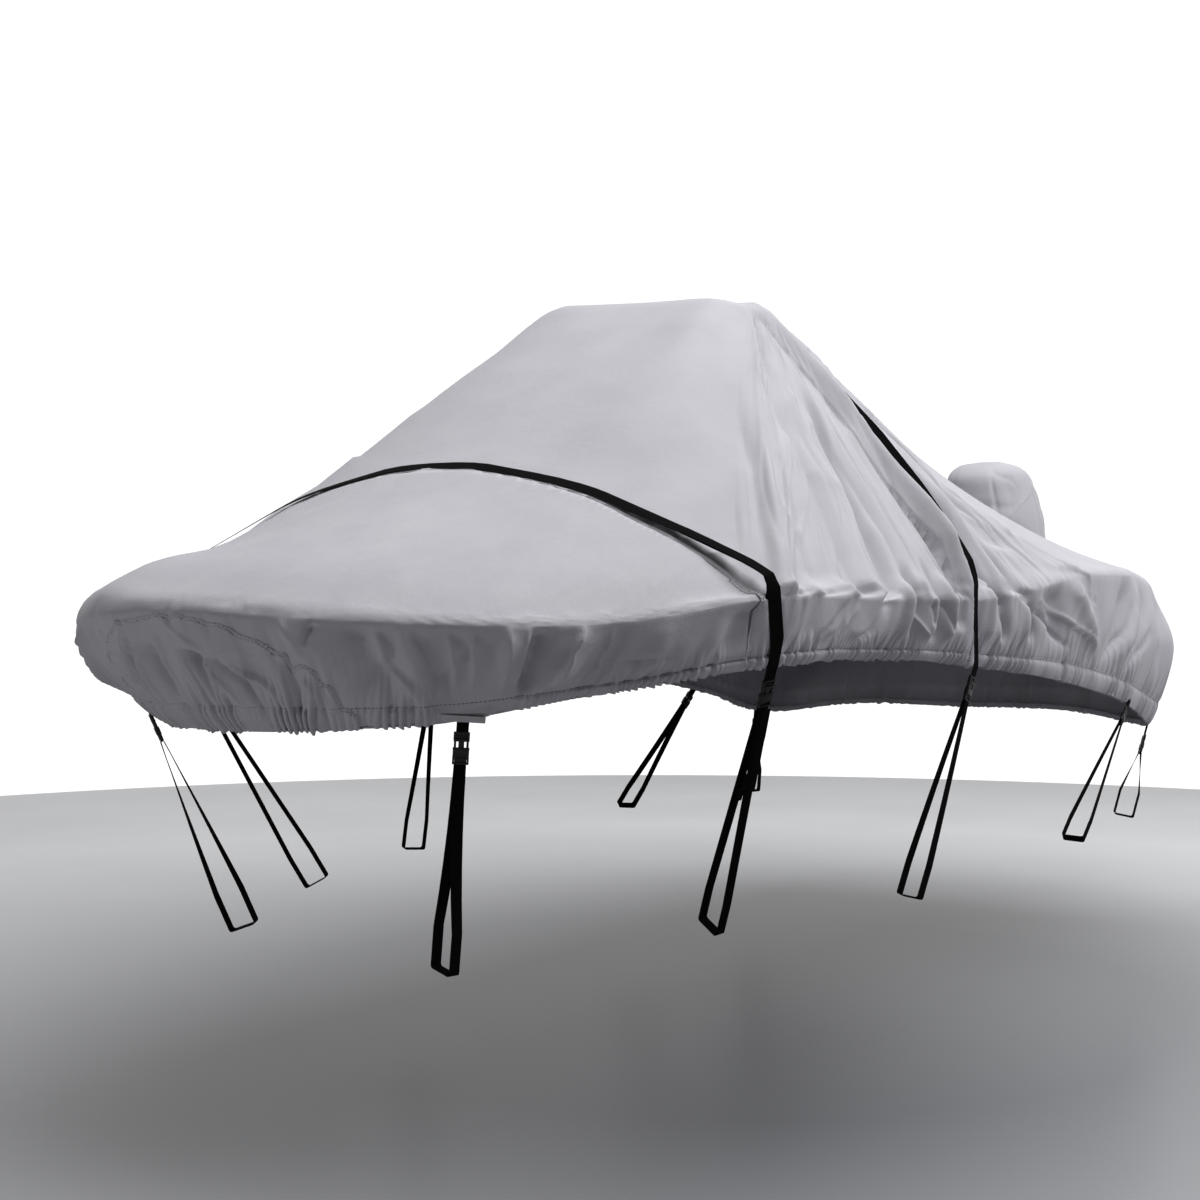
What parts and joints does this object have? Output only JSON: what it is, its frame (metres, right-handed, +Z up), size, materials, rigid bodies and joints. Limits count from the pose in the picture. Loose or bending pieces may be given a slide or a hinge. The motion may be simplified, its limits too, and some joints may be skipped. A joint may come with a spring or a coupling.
{
  "type": "fitted boat cover",
  "caption": "Fitted grey cloth boat cover over a centre console, with gathered hem, rear motor hood, webbing over-straps and buckled tie-down loops.",
  "frame": {"origin": "underside of the cloth in the middle of the flat top, where the covered thing holds it up", "axes": "+X aft along the cover's length, +Y to starboard, +Z up"},
  "size_m": [5.4124, 2.1383, 1.8202],
  "materials": {
    "cover_cloth": "light grey polyester, plain weave, water-repellent coat, slight sheen",
    "hem_patch": "the cover's cloth, doubled and stitched flat",
    "webbing": "black woven polypropylene webbing",
    "buckle": "black moulded acetal, satin"
  },
  "bodies": {
    "root": {"bow_gore": "cover_cloth", "foredeck_panel": "cover_cloth", "midship_panel": "cover_cloth", "aft_panel": "cover_cloth", "rear_hood": "cover_cloth", "strap_mid": "webbing", "strap_aft": "webbing", "buckle_fore_port": "buckle", "loop_fore_port": "webbing", "tab_fore_port": "webbing", "patch_fore_port": "hem_patch", "buckle_fore_starboard": "buckle", "loop_fore_starboard": "webbing", "tab_fore_starboard": "webbing", "patch_fore_starboard": "hem_patch", "buckle_mid_port": "buckle", "loop_mid_port": "webbing", "buckle_mid_starboard": "buckle", "loop_mid_starboard": "webbing", "buckle_aft_port": "buckle", "loop_aft_port": "webbing", "buckle_aft_starboard": "buckle", "loop_aft_starboard": "webbing", "buckle_quarter_port": "buckle", "loop_quarter_port": "webbing", "tab_quarter_port": "webbing", "buckle_quarter_starboard": "buckle", "loop_quarter_starboard": "webbing", "tab_quarter_starboard": "webbing", "buckle_stern_port": "buckle", "loop_stern_port": "webbing", "tab_stern_port": "webbing", "buckle_stern_starboard": "buckle", "loop_stern_starboard": "webbing", "tab_stern_starboard": "webbing"}
  },
  "joints": []
}
